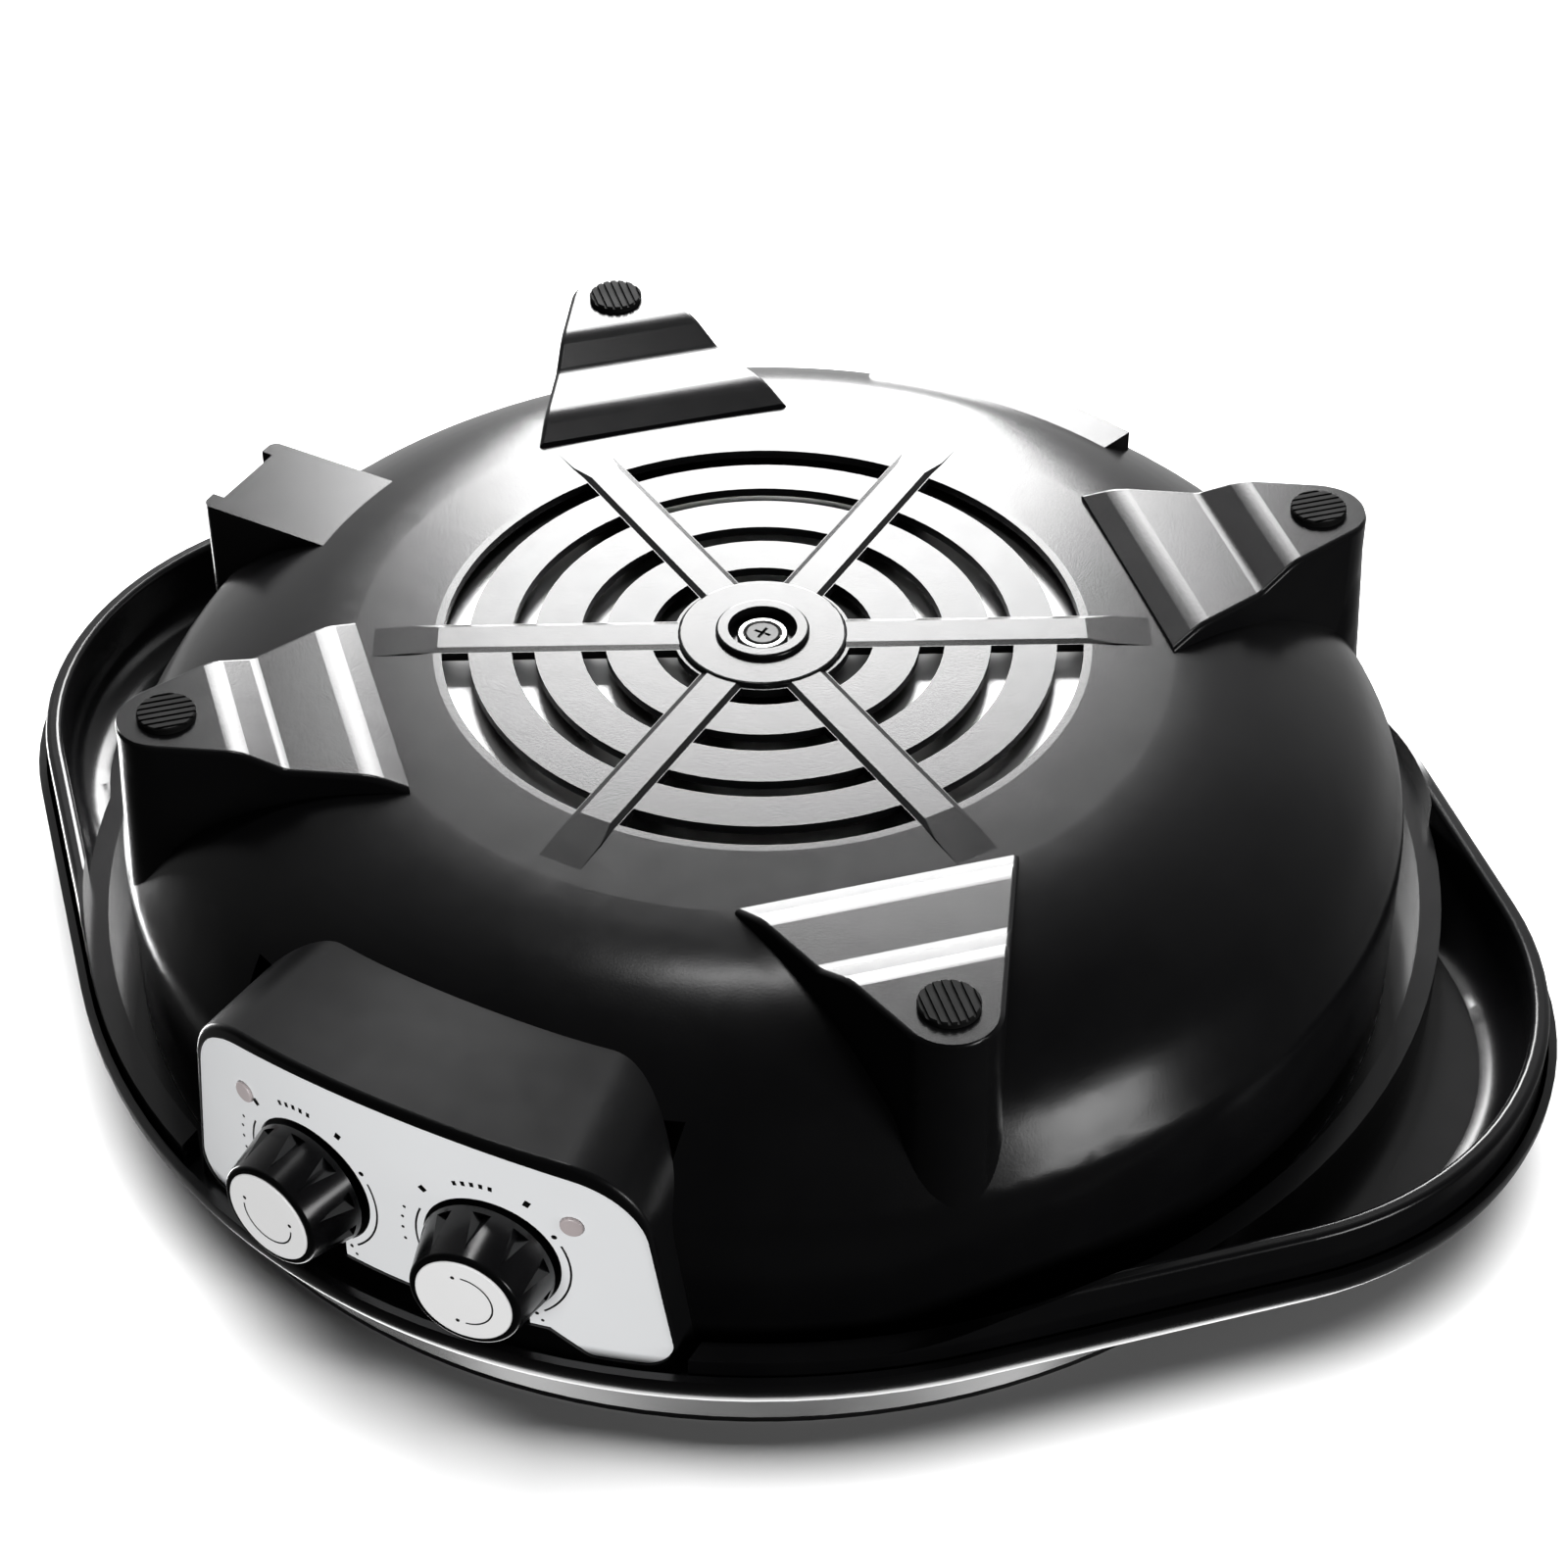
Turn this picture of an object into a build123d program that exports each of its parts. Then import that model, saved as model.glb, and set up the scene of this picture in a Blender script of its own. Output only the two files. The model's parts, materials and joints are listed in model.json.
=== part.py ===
from build123d import *
import os
from math import acos, asin, atan2, cos, hypot, pi, radians, sin

# Round tabletop electric pizza pan: moulded lower casing on four legs, a two-part handle ring
# with two ears, a fixed cooking pan and a curved control box with two knobs.
# Frame: +Z up, control panel facing -Y, power inlet towards +X. The origin is on the resting
# plane in the middle of the overall outline, which the knobs move a little off the dish's axis.

# ---- overall sizes -------------------------------------------------------------------------
AXIS_Y = 4.4              # the dish's axis lies this far behind the origin
FLOOR_Z = 11.0            # underside of the casing floor above the resting plane
CASING_R = 192.0          # largest radius of the lower casing
FLAT_R = 96.5             # the floor is flat to here
CONE_R = 120.0            # and rises gently to here, where the shoulder starts
CONE_RISE = 1.3
BELLY_Z = 67.0            # height of the largest radius
CASING_TOP_Z = 111.0      # top rim of the lower casing
WALL = 2.8                # wall of the plastic mouldings
SHOULDER_POWER = 1.8      # 2 would be an ellipse, smaller is flatter

# ---- vent grille and hub -------------------------------------------------------------------
SLOT_RADII = [(26.1, 32.8), (46.3, 53.5), (67.0, 73.6), (86.2, 94.0)]
SPOKE_COUNT = 6
SPOKE_W = 13.6            # plain floor left between two slots
RIB_W = 13.2
RIB_H = 0.7
RIB_SLOPE = 1.8           # run of the sloped sides
RIB_END_R = 114.0
RIB_FADE = 19.0           # run of the sloped outer end
HUB_R = 25.0
HUB_H = 1.2
HUB_ROUND = 1.1
HUB_LIP_R = 13.8
HUB_LIP_H = 1.6
HUB_LIP_ROUND = 0.8
HUB_RECESS_R = 10.2
HUB_SEAT_Z = 12.6         # floor of the screw recess
HUB_BOSS_R = 16.0
HUB_TOP_Z = 17.4

# ---- vent baffle ---------------------------------------------------------------------------
BAFFLE_R = 106.0
BAFFLE_T = 1.0
BAFFLE_RIM_H = 4.0

# ---- centre screw and stud -----------------------------------------------------------------
SCREW_R = 3.0
SCREW_HEAD_R = 5.2
SCREW_HEAD_H = 1.5
SCREW_CROSS_DEPTH = 0.9
SCREW_HOLE_R = 3.3
WASHER_R = 7.4
WASHER_T = 0.8
WASHER_RIM_R = 5.5        # inner radius of the raised rim
WASHER_RIM_H = 1.5
STUD_R = 6.0
STUD_TIP_R = 4.0
STUD_TIP_H = 6.0
SCREW_DEPTH = 14.0        # thread length inside the stud
STUD_LOW_Z = HUB_TOP_Z + BAFFLE_T

# ---- legs ----------------------------------------------------------------------------------
LEG_AZ = [45.0, 135.0, 225.0, 315.0]
LEG_INNER_X = 113.6       # straight inner edge of the leg
LEG_INNER_HALF = 40.4
LEG_TIP_X = 174.4         # centre of the pad
LEG_TIP_R = 14.6
LEG_FACE_Z = 2.0
LEG_TREAD_Z = 7.4
LEG_RAMP = 9.4            # length of the slope from the floor to the tread
LEG_STEP_X = 145.8        # tread ends and the second step starts
LEG_STEP_RUN = 11.8
LEG_RAMP_R = 18.0         # bend at the top of the ramp
LEG_VALLEY_R = 6.0        # bend at the foot of the second step
LEG_BROW_R = 14.0         # bend at the top of the second step
LEG_EDGE_R = 1.5
COLUMN_R = 12.6
COLUMN_FOOT_R = 16.0      # column radius where it runs into the belly
COLUMN_X = 176.0
PAD_R = 8.4
PAD_STEM_R = 3.0
PAD_STEM_H = 5.5
PAD_GROOVE_PITCH = 2.4
PAD_GROOVE_W = 0.9
PAD_GROOVE_D = 0.7

# ---- handle ring and top ring --------------------------------------------------------------
RING_R = 206.8            # outer radius between the ears
EAR_R = 110.2             # end radius of an ear
EAR_X = 135.6             # centre of the ear's end radius
EAR_LOW_Z = 85.3          # rim of the ears
COLLAR_LOW_Z = 94.6       # lower edge of the collar and of the ring between the ears
RAMP_START_X = 172.0      # the rim starts to rise towards the collar's level here
RAMP_END_X = 126.0
PART_Z = 99.0             # joint line between the two rings
RING_PLATE_Z = 112.0      # underside of the ear floor
RING_PLATE_T = 1.8
RING_ROUND = 13.5
SKIRT_T = 5.2
COLLAR_IN_R = 200.0       # inner face of the round collar
POCKET_IN_R = 206.5       # outer face of the collar inside an ear
POCKET_END_X = 163.0      # pockets stop at this distance from the centre line
POCKET_COVE = 12.0
RING_BORE_R = 189.5
TOP_STEP = 3.7            # the top ring stands proud of the handle ring
TOP_WALL = 2.4
TOP_Z = 116.0             # upper face of the ears
TOP_ROUND = 16.0
BAND_TOP_R = 196.0        # outer radius of the raised band at its top
BAND_TOP_Z = 129.3

# ---- cooking pan ---------------------------------------------------------------------------
PAN_RIM_R = 195.5
PAN_RIM_T = 2.5
PAN_WALL_R = 187.0        # outside of the wall under the rim
PAN_FOOT_R = 168.0        # outside of the wall at the floor
PAN_UNDER_Z = 91.0
PAN_FLOOR_T = 4.0
PAN_WALL_T = 3.0
HEATER_R = 4.0
OUTER_HEATER_LOOP_R = 128.0
INNER_HEATER_LOOP_R = 66.0
HEATER_GAP_DEG = 24.0
HEATER_DROP = 34.0        # cold ends bent down from the loop, through the shield
HEATER_HOLE = 1.5         # clearance round a cold end in the shield
CLIP_AZ = [30.0, 150.0, 270.0]
CLIP_T = 1.0
CLIP_W = 10.0
CLIP_FOOT = 8.0
PAN_BOSS_R = 14.0
PAN_BOSS_H = 8.0

# ---- heat shield ---------------------------------------------------------------------------
SHIELD_T = 1.0
SHIELD_FLOOR_Z = 62.0
SHIELD_FLOOR_R = 146.0
SHIELD_KNEE_R = 175.0
SHIELD_KNEE_Z = 89.0
SHIELD_LIP_R = 187.0

# ---- control box ---------------------------------------------------------------------------
BOX_R = 202.0             # curved front of the control box
BOX_LOW_Z = 27.5
BOX_TOP_Z = 104.5
BOX_ARCH = 9.0            # the lower edge bulges down in the middle by this much
BOX_LOW_HALF = 72.5       # half width at the lower edge
BOX_TOP_HALF = 81.5
BOX_CORNER_R = 27.0
BOX_EDGE_R = 1.6
BOX_WALL = 2.6
BOX_DEPTH_Y = 150.0       # the box reaches in to this distance from the axis
BOX_BACK_DROP = 3.4       # the underside is lower here than at the front
BOX_BACK_ARCH = 2.0
BOX_BACK_TAPER = 9.0      # each side comes in by this much here
BEZEL = 0.7               # border standing proud of the fascia
FASCIA_T = 1.2
FASCIA_BORDER = 3.4
FASCIA_LOW_Z = 94.7       # upper edge between the lobes
FASCIA_LOBE_Z = 102.6
LOBE_INNER_X = 44.0
LOBE_RISE_X = 55.0
WINDOW_HALF_DEG = 19.5    # opening in the casing behind the control box
WINDOW_LOW_Z = 36.0
RING_NOTCH_HALF = 82.2

# ---- knobs, thermostats, lamps -------------------------------------------------------------
KNOB_AZ = 8.1             # knob axes either side of the panel centre, degrees
KNOB_Z = 71.6
KNOB_START_R = 203.6      # back of the knob
KNOB_LEN = 15.6
KNOB_BASE_R = 19.2
KNOB_FACE_R = 15.8
KNOB_FLUTES = 10
FLUTE_HALF = 4.6          # half width of a flute at its wide end
FLUTE_DEPTH = 1.9
FLUTE_START = 1.6         # plain length behind the flutes
FLUTE_END = 2.4           # plain length in front of them
KNOB_RECESS_R = 20.0      # cut-out of the fascia round a knob
KNOB_SLOT_HALF = 10.0
CAP_R = 13.9
CAP_T = 1.4
CAP_SEAT = 1.0
SHAFT_R = 3.0
SHAFT_FIT = 0.05          # running clearance of the shaft in its bushing
SHAFT_GRIP = 11.0         # shaft length inside the knob
BUSHING_R = 4.6
BUSHING_HOLE_R = 4.8
THERMO_W = 26.0
THERMO_H = 28.0
THERMO_D = 17.0
THERMO_PLATE_T = 1.2
THERMO_SEAT = 0.15        # the flat plate meets the curved wall along its edges
NUT_R = 7.0
NUT_T = 2.4
LAMP_AZ = 14.8
LAMP_Z = 53.3
LAMP_R = 3.3
LAMP_FLANGE_R = 5.0
LAMP_LEN = 18.0

# ---- power inlet ---------------------------------------------------------------------------
INLET_BOX_HALF = 19.25
INLET_BOX_X = 188.0
INLET_BOX_Z = 16.6
INLET_BOX_TOP_Z = 60.0
CHEEK_T = 6.2
CHEEK_DEPTH = 4.0
SOCKET_HALF_Y = 12.6
SOCKET_LOW_Z = 22.0
SOCKET_TOP_Z = 45.0
SOCKET_DEPTH = 24.0
SOCKET_WALL = 1.8
SOCKET_FLOOR_T = 5.0
SOCKET_FIT = 0.15
SOCKET_LIP = 2.0
SOCKET_LIP_T = 1.6
PIN_W = 4.0
PIN_T = 2.0
PIN_SPREAD = 7.0
PIN_RISE = 4.0
PIN_OUT = 15.0
PIN_TAIL = 9.0

# ---- rear ledge ----------------------------------------------------------------------------
LEDGE_AZ_HALF = 16.0
LEDGE_R = 165.5
LEDGE_Z = 20.4

os.makedirs("parts", exist_ok=True)


def revolved(*outline):
    """Solid of revolution about Z from the edges of a half section in (radius, height)."""
    return revolve(Plane.XZ * make_face(list(outline)), Axis.Z)


def ring(r_in, r_out, z0, z1):
    """Plain ring with a rectangular section."""
    body = Pos(0, 0, z0) * extrude(Circle(r_out), z1 - z0)
    if r_in > 0:
        body -= Pos(0, 0, z0 - 1) * extrude(Circle(r_in), z1 - z0 + 2)
    return body


def block(x0, x1, y0, y1, z0, z1):
    """Box between two corners."""
    return Pos((x0 + x1) / 2, (y0 + y1) / 2, (z0 + z1) / 2) * Box(x1 - x0, y1 - y0, z1 - z0)


def spin(shape, azimuth):
    """Turn a shape made on the +X side to an azimuth."""
    return Rot(0, 0, azimuth) * shape


def save(shape, name):
    shape = Pos(0, AXIS_Y, 0) * shape
    shape.label = name
    export_step(shape, os.path.join("parts", name + ".step"))


def shoulder(r_flat, z_low, r_max, z_max):
    """Curve of the casing from its floor to its largest radius."""
    power = 2 / SHOULDER_POWER
    steps = 6
    points = []
    for i in range(steps + 1):
        t = pi / 2 * i / steps
        points.append((r_flat + (r_max - r_flat) * sin(t) ** power,
                       z_max - (z_max - z_low) * cos(t) ** power))
    return Spline(*points, tangents=[(CONE_R - FLAT_R, CONE_RISE), (0, 1)])


def casing_body(inset, z_top):
    """Solid inside the casing's outer surface, moved inwards by inset."""
    r_max = CASING_R - inset
    z_low = FLOOR_Z + inset
    curve = shoulder(CONE_R, z_low + CONE_RISE, r_max, BELLY_Z)
    frame = Polyline((r_max, BELLY_Z), (r_max, z_top), (0, z_top), (0, z_low), (FLAT_R, z_low),
                     (CONE_R, z_low + CONE_RISE))
    return revolved(curve, frame)


def leg_plan(inset):
    """Plan of a leg: a straight inner edge narrowing to a round tip about the pad."""
    x_in = LEG_INNER_X + inset
    half = LEG_INNER_HALF - inset
    tip = LEG_TIP_R - inset
    reach = hypot(LEG_TIP_X - x_in, half)
    turn = atan2(-half, LEG_TIP_X - x_in) + asin(tip / reach)
    touch_x = LEG_TIP_X - tip * sin(turn)
    touch_y = tip * cos(turn)
    sides = Polyline((touch_x, -touch_y), (x_in, -half), (x_in, half), (touch_x, touch_y))
    end = ThreePointArc((touch_x, touch_y), (LEG_TIP_X + tip, 0), (touch_x, -touch_y))
    return make_face([sides, end])


def leg_side(inset, z_top):
    """Side outline of a leg, from the floor down its slope, tread and step to the pad face."""
    run = inset * 0.6
    corners = [
        (LEG_INNER_X, FLOOR_Z + inset),
        (LEG_INNER_X + LEG_RAMP, LEG_TREAD_Z + inset),
        (LEG_STEP_X + run, LEG_TREAD_Z + inset),
        (LEG_STEP_X + LEG_STEP_RUN + run, LEG_FACE_Z + inset),
        (CASING_R + 8, LEG_FACE_Z + inset),
        (CASING_R + 8, z_top),
        (LEG_INNER_X, z_top),
    ]
    face = make_face(Polyline(*corners, close=True))
    bends = ((corners[1], LEG_RAMP_R), (corners[2], LEG_VALLEY_R), (corners[3], LEG_BROW_R))
    for corner, radius in bends:
        face = fillet(face.vertices().sort_by_distance(corner)[0], radius)
    return face


def leg_body(inset, z_top):
    """One leg on the +X side, filled up to z_top."""
    prism = extrude(leg_plan(inset), z_top)
    across = 2 * LEG_INNER_HALF + 10
    profile = extrude(Plane.XZ * leg_side(inset, z_top), across / 2, both=True)
    height = BELLY_Z - LEG_FACE_Z - inset
    column = Pos(COLUMN_X, 0, LEG_FACE_Z + inset + height / 2) * Cone(
        COLUMN_R - inset, COLUMN_FOOT_R - inset, height)
    leg = prism & profile
    if inset == 0:
        rounded = [e for e in leg.edges() if e.center().Z < FLOOR_Z + 1 and abs(e.center().Y) > 1]
        leg = fillet(rounded, LEG_EDGE_R)
    return leg + column


def slot_cuts():
    """The arc slots of the vent grille."""
    spokes = [spin(block(0, SLOT_RADII[-1][1] + 5, -SPOKE_W / 2, SPOKE_W / 2, 0, 30), 30 + 60 * k)
              for k in range(SPOKE_COUNT)]
    rings = [ring(r0, r1, FLOOR_Z - 1, FLOOR_Z + WALL + 1) for r0, r1 in SLOT_RADII]
    return [part - spokes for part in rings]


def hub_parts():
    """Raised hub disc with its lip and inner boss, and the stepped screw hole."""
    disc = Pos(0, 0, FLOOR_Z - HUB_H / 2 + 0.5) * Cylinder(HUB_R, HUB_H + 1)
    disc = fillet(disc.edges().sort_by(Axis.Z)[:1], HUB_ROUND)
    lip = ring(0, HUB_LIP_R, FLOOR_Z - HUB_H - HUB_LIP_H, FLOOR_Z)
    lip = fillet(lip.edges().sort_by(Axis.Z)[:1], HUB_LIP_ROUND)
    boss = ring(0, HUB_BOSS_R, FLOOR_Z, HUB_TOP_Z)
    hole = ring(0, HUB_RECESS_R, 0, HUB_SEAT_Z) + ring(0, SCREW_HOLE_R, 0, HUB_TOP_Z + 1)
    return disc + lip + boss, hole


def spoke_ribs():
    """Low ribs along the spokes, fading out past the outer slots."""
    half = RIB_W / 2
    face_z = FLOOR_Z - RIB_H
    root_z = FLOOR_Z + WALL / 2
    end_z = FLOOR_Z + CONE_RISE * (RIB_END_R - FLAT_R) / (CONE_R - FLAT_R)
    start = HUB_R - 2
    section = make_face(Polyline((-half, root_z), (-half, FLOOR_Z), (RIB_SLOPE - half, face_z),
                                 (half - RIB_SLOPE, face_z), (half, FLOOR_Z), (half, root_z), close=True))
    side = make_face(Polyline((start, root_z), (start, face_z), (RIB_END_R - RIB_FADE, face_z),
                              (RIB_END_R, end_z), (RIB_END_R, root_z), close=True))
    rib = extrude(Plane.YZ * section, RIB_END_R) & extrude(Plane.XZ * side, RIB_W, both=True)
    return [spin(rib, 30 + 60 * k) for k in range(SPOKE_COUNT)]


def socket_window(fit):
    """Opening that the power socket's body fills, with clearance fit."""
    return block(INLET_BOX_X - SOCKET_DEPTH - 20, INLET_BOX_X + 1, -SOCKET_HALF_Y - fit,
                 SOCKET_HALF_Y + fit, SOCKET_LOW_Z - fit, SOCKET_TOP_Z + fit)


def inlet_box():
    """Housing of the power inlet on the +X side, and what it takes out."""
    outer = block(CONE_R, INLET_BOX_X, -INLET_BOX_HALF, INLET_BOX_HALF, INLET_BOX_Z, INLET_BOX_TOP_Z)
    outer = fillet(outer.edges().filter_by(Axis.Z).sort_by(Axis.X)[-2:], 3.0)
    inner = block(CONE_R - 5, INLET_BOX_X - CHEEK_DEPTH - WALL, -INLET_BOX_HALF + WALL,
                  INLET_BOX_HALF - WALL, INLET_BOX_Z + WALL, INLET_BOX_TOP_Z)
    face = block(INLET_BOX_X - CHEEK_DEPTH, INLET_BOX_X + 5, -INLET_BOX_HALF + CHEEK_T,
                 INLET_BOX_HALF - CHEEK_T, INLET_BOX_Z - 1, SOCKET_TOP_Z + SOCKET_LIP + 1.5)
    return outer, inner, face


def rear_ledge():
    """Low arc ledge on the shoulder opposite the control panel."""
    body = ring(CONE_R, LEDGE_R, LEDGE_Z, LEDGE_Z + 14)
    wedge = Plane.XY * make_face(Polyline((0, 0), polar(260, 90 - LEDGE_AZ_HALF),
                                          polar(260, 90 + LEDGE_AZ_HALF), close=True))
    return body & extrude(wedge, 60)


def polar(r, azimuth):
    return (r * cos(radians(azimuth)), r * sin(radians(azimuth)))


def arched(half_low, low, half_top, top, corner, arch=BOX_ARCH):
    """Outline with an arched lower edge, leaning sides and rounded lower corners."""
    bow = ThreePointArc((-half_low, low + arch), (0, low), (half_low, low + arch))
    rest = Polyline((half_low, low + arch), (half_top, top), (-half_top, top), (-half_low, low + arch))
    face = make_face([bow, rest])
    return fillet([v for v in face.vertices() if v.Y < low + arch + 0.1], corner)


def box_body(inset):
    """Control box as a solid that narrows inwards from its front outline, moved in by inset."""
    corner = BOX_CORNER_R - inset
    top = BOX_TOP_Z - inset
    front = arched(BOX_LOW_HALF - inset, BOX_LOW_Z + inset, BOX_TOP_HALF - inset, top, corner)
    back = arched(BOX_LOW_HALF - BOX_BACK_TAPER - inset, BOX_LOW_Z - BOX_BACK_DROP + inset,
                  BOX_TOP_HALF - BOX_BACK_TAPER - inset, top, corner, BOX_BACK_ARCH)
    near = Plane(origin=(0, -BOX_R - 5, 0), x_dir=(1, 0, 0), z_dir=(0, -1, 0))
    far = Plane(origin=(0, -BOX_DEPTH_Y, 0), x_dir=(1, 0, 0), z_dir=(0, -1, 0))
    return loft([near * front, far * back], ruled=True)


def forward(face, r_in, r_out):
    """Extrude a front outline towards -Y and keep what lies between two radii."""
    bar = extrude(Plane.XZ * face, BOX_R + 30)
    z0 = BOX_LOW_Z - 5
    return bar & ring(r_in, r_out, z0, CASING_TOP_Z + 5) & block(-120, 120, -260, -100, z0, 130)


def knob_axis(side):
    """Plane on the dish's axis, its Z along a knob's axis. side is -1 or 1."""
    out = polar(1, 270 + side * KNOB_AZ)
    return Plane(origin=(0, 0, KNOB_Z), x_dir=(0, 0, 1), z_dir=(out[0], out[1], 0))


def lamp_axis(side):
    out = polar(1, 270 + side * LAMP_AZ)
    return Plane(origin=(0, 0, LAMP_Z), x_dir=(0, 0, 1), z_dir=(out[0], out[1], 0))


def along(plane, radius, start, end):
    """Cylinder on a knob's or lamp's axis between two distances from the dish's axis."""
    return plane * Pos(0, 0, (start + end) / 2) * Cylinder(radius, end - start)


def make_lower_casing():
    outer = casing_body(0, CASING_TOP_Z)
    inner = casing_body(WALL, CASING_TOP_Z + 1)
    limit = casing_body(0, BELLY_Z + 20)
    for azimuth in LEG_AZ:
        outer += spin(leg_body(0, BELLY_Z - 5), azimuth)
    for azimuth in LEG_AZ:
        inner += spin(leg_body(WALL, BELLY_Z - 5), azimuth)
    box, hollow, face = inlet_box()
    outer += box
    outer += rear_ledge() - limit
    inner += hollow
    casing = outer - inner
    hub, hole = hub_parts()
    casing += hub
    casing += spoke_ribs()
    casing -= hole
    casing -= slot_cuts()
    casing -= face
    casing -= socket_window(SOCKET_FIT)
    casing -= control_window()
    for azimuth in LEG_AZ:
        casing -= spin(ring(0, PAD_STEM_R, 0, 20).moved(Location((LEG_TIP_X, 0, 0))), azimuth)
    return casing


def control_window():
    """Opening through the casing wall behind the control box."""
    edge = BOX_R * sin(radians(WINDOW_HALF_DEG))
    return block(-edge, edge, -CASING_R - 10, -BOX_DEPTH_Y, WINDOW_LOW_Z, CASING_TOP_Z - 8)


def make_pad():
    pad = ring(0, PAD_R, 0, LEG_FACE_Z)
    pad = chamfer(pad.edges().group_by(Axis.Z)[0], 0.4)
    half = PAD_GROOVE_W / 2
    for k in range(-3, 4):
        y = k * PAD_GROOVE_PITCH
        pad -= block(-PAD_R, PAD_R, y - half, y + half, -1, PAD_GROOVE_D)
    stem = ring(0, PAD_STEM_R, LEG_FACE_Z, LEG_FACE_Z + PAD_STEM_H)
    return (pad + stem).moved(Location((LEG_TIP_X, 0, 0)))


def make_washer():
    """Cup washer: a flat base and a raised rim round the screw head."""
    base_z = HUB_SEAT_Z - WASHER_T
    rim = ring(WASHER_RIM_R, WASHER_R, base_z - WASHER_RIM_H, HUB_SEAT_Z)
    rim = fillet(rim.edges().group_by(Axis.Z)[0], 0.5)
    return rim + ring(SCREW_HOLE_R, WASHER_R - 0.5, base_z, HUB_SEAT_Z)


def make_hub_screw():
    top = HUB_SEAT_Z - WASHER_T
    head = ring(0, SCREW_HEAD_R, top - SCREW_HEAD_H, top)
    head = fillet(head.edges().group_by(Axis.Z)[0], 0.7)
    bar = block(-2.6, 2.6, -0.5, 0.5, top - SCREW_HEAD_H - 1, top - SCREW_HEAD_H + SCREW_CROSS_DEPTH)
    return head - bar - spin(bar, 90) + ring(0, SCREW_R, top, STUD_LOW_Z + SCREW_DEPTH)


def make_stud():
    z1 = PAN_UNDER_Z - PAN_BOSS_H
    stud = ring(0, STUD_R, STUD_LOW_Z, z1) + ring(0, STUD_TIP_R, z1, z1 + STUD_TIP_H)
    return stud - ring(0, SCREW_R, STUD_LOW_Z - 1, STUD_LOW_Z + SCREW_DEPTH + 1)


def make_vent_baffle():
    """Sheet disc clamped on the hub just behind the slots, its rim turned up."""
    disc = ring(SCREW_HOLE_R, BAFFLE_R, HUB_TOP_Z, HUB_TOP_Z + BAFFLE_T)
    rim = ring(BAFFLE_R - BAFFLE_T, BAFFLE_R, HUB_TOP_Z, HUB_TOP_Z + BAFFLE_RIM_H)
    baffle = disc + rim
    return fillet(baffle.edges().group_by(Axis.Z)[0].sort_by(SortBy.LENGTH)[-1], 0.9)


def make_heat_shield():
    t = SHIELD_T
    z_lip = CASING_TOP_Z
    ends = [spin(Pos(loop, 0, 0) * ring(0, HEATER_R + HEATER_HOLE, 40, 80), 90 + side * HEATER_GAP_DEG / 2)
            for loop in (OUTER_HEATER_LOOP_R, INNER_HEATER_LOOP_R) for side in (-1, 1)]
    outline = Polyline((STUD_R + 0.2, SHIELD_FLOOR_Z), (SHIELD_FLOOR_R, SHIELD_FLOOR_Z),
                       (SHIELD_KNEE_R, SHIELD_KNEE_Z), (SHIELD_LIP_R, z_lip), (CASING_R, z_lip),
                       (CASING_R, z_lip + t), (SHIELD_LIP_R - t, z_lip + t),
                       (SHIELD_KNEE_R - t, SHIELD_KNEE_Z + t * 0.5),
                       (SHIELD_FLOOR_R - t * 0.5, SHIELD_FLOOR_Z + t),
                       (STUD_R + 0.2, SHIELD_FLOOR_Z + t), close=True)
    return revolved(outline) - ends


def make_pan():
    z_rim = BAND_TOP_Z
    floor_top = PAN_UNDER_Z + PAN_FLOOR_T
    outline = Polyline((0, PAN_UNDER_Z), (PAN_FOOT_R, PAN_UNDER_Z), (PAN_WALL_R, z_rim),
                       (PAN_RIM_R, z_rim), (PAN_RIM_R, z_rim + PAN_RIM_T),
                       (PAN_WALL_R - PAN_WALL_T, z_rim + PAN_RIM_T),
                       (PAN_FOOT_R - PAN_WALL_T, floor_top), (0, floor_top), close=True)
    pan = revolved(outline)
    for foot, round_r in ((PAN_FOOT_R - PAN_WALL_T, 5.0), (PAN_FOOT_R, 7.0)):
        circles = pan.edges().filter_by(GeomType.CIRCLE)
        pan = fillet([e for e in circles if abs(e.radius - foot) < 0.01], round_r)
    low = PAN_UNDER_Z - PAN_BOSS_H
    return pan + ring(0, PAN_BOSS_R, low, PAN_UNDER_Z) - ring(0, STUD_TIP_R, low - 1, low + STUD_TIP_H)


def make_heater(loop_r, azimuth):
    """Tubular heating element: an open loop under the pan with both ends bent down."""
    z = PAN_UNDER_Z - HEATER_R
    half = HEATER_GAP_DEG / 2
    loop = CenterArc((0, 0, z), loop_r, half, 360 - 2 * half)
    tube = sweep(Plane(origin=loop @ 0, z_dir=loop % 0) * Circle(HEATER_R), loop)
    for point in (loop @ 0, loop @ 1):
        tube += Pos(point.X, point.Y, z) * Sphere(HEATER_R)
        tube += Pos(point.X, point.Y, z - HEATER_DROP / 2) * Cylinder(HEATER_R, HEATER_DROP)
    return spin(tube, azimuth)


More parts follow.
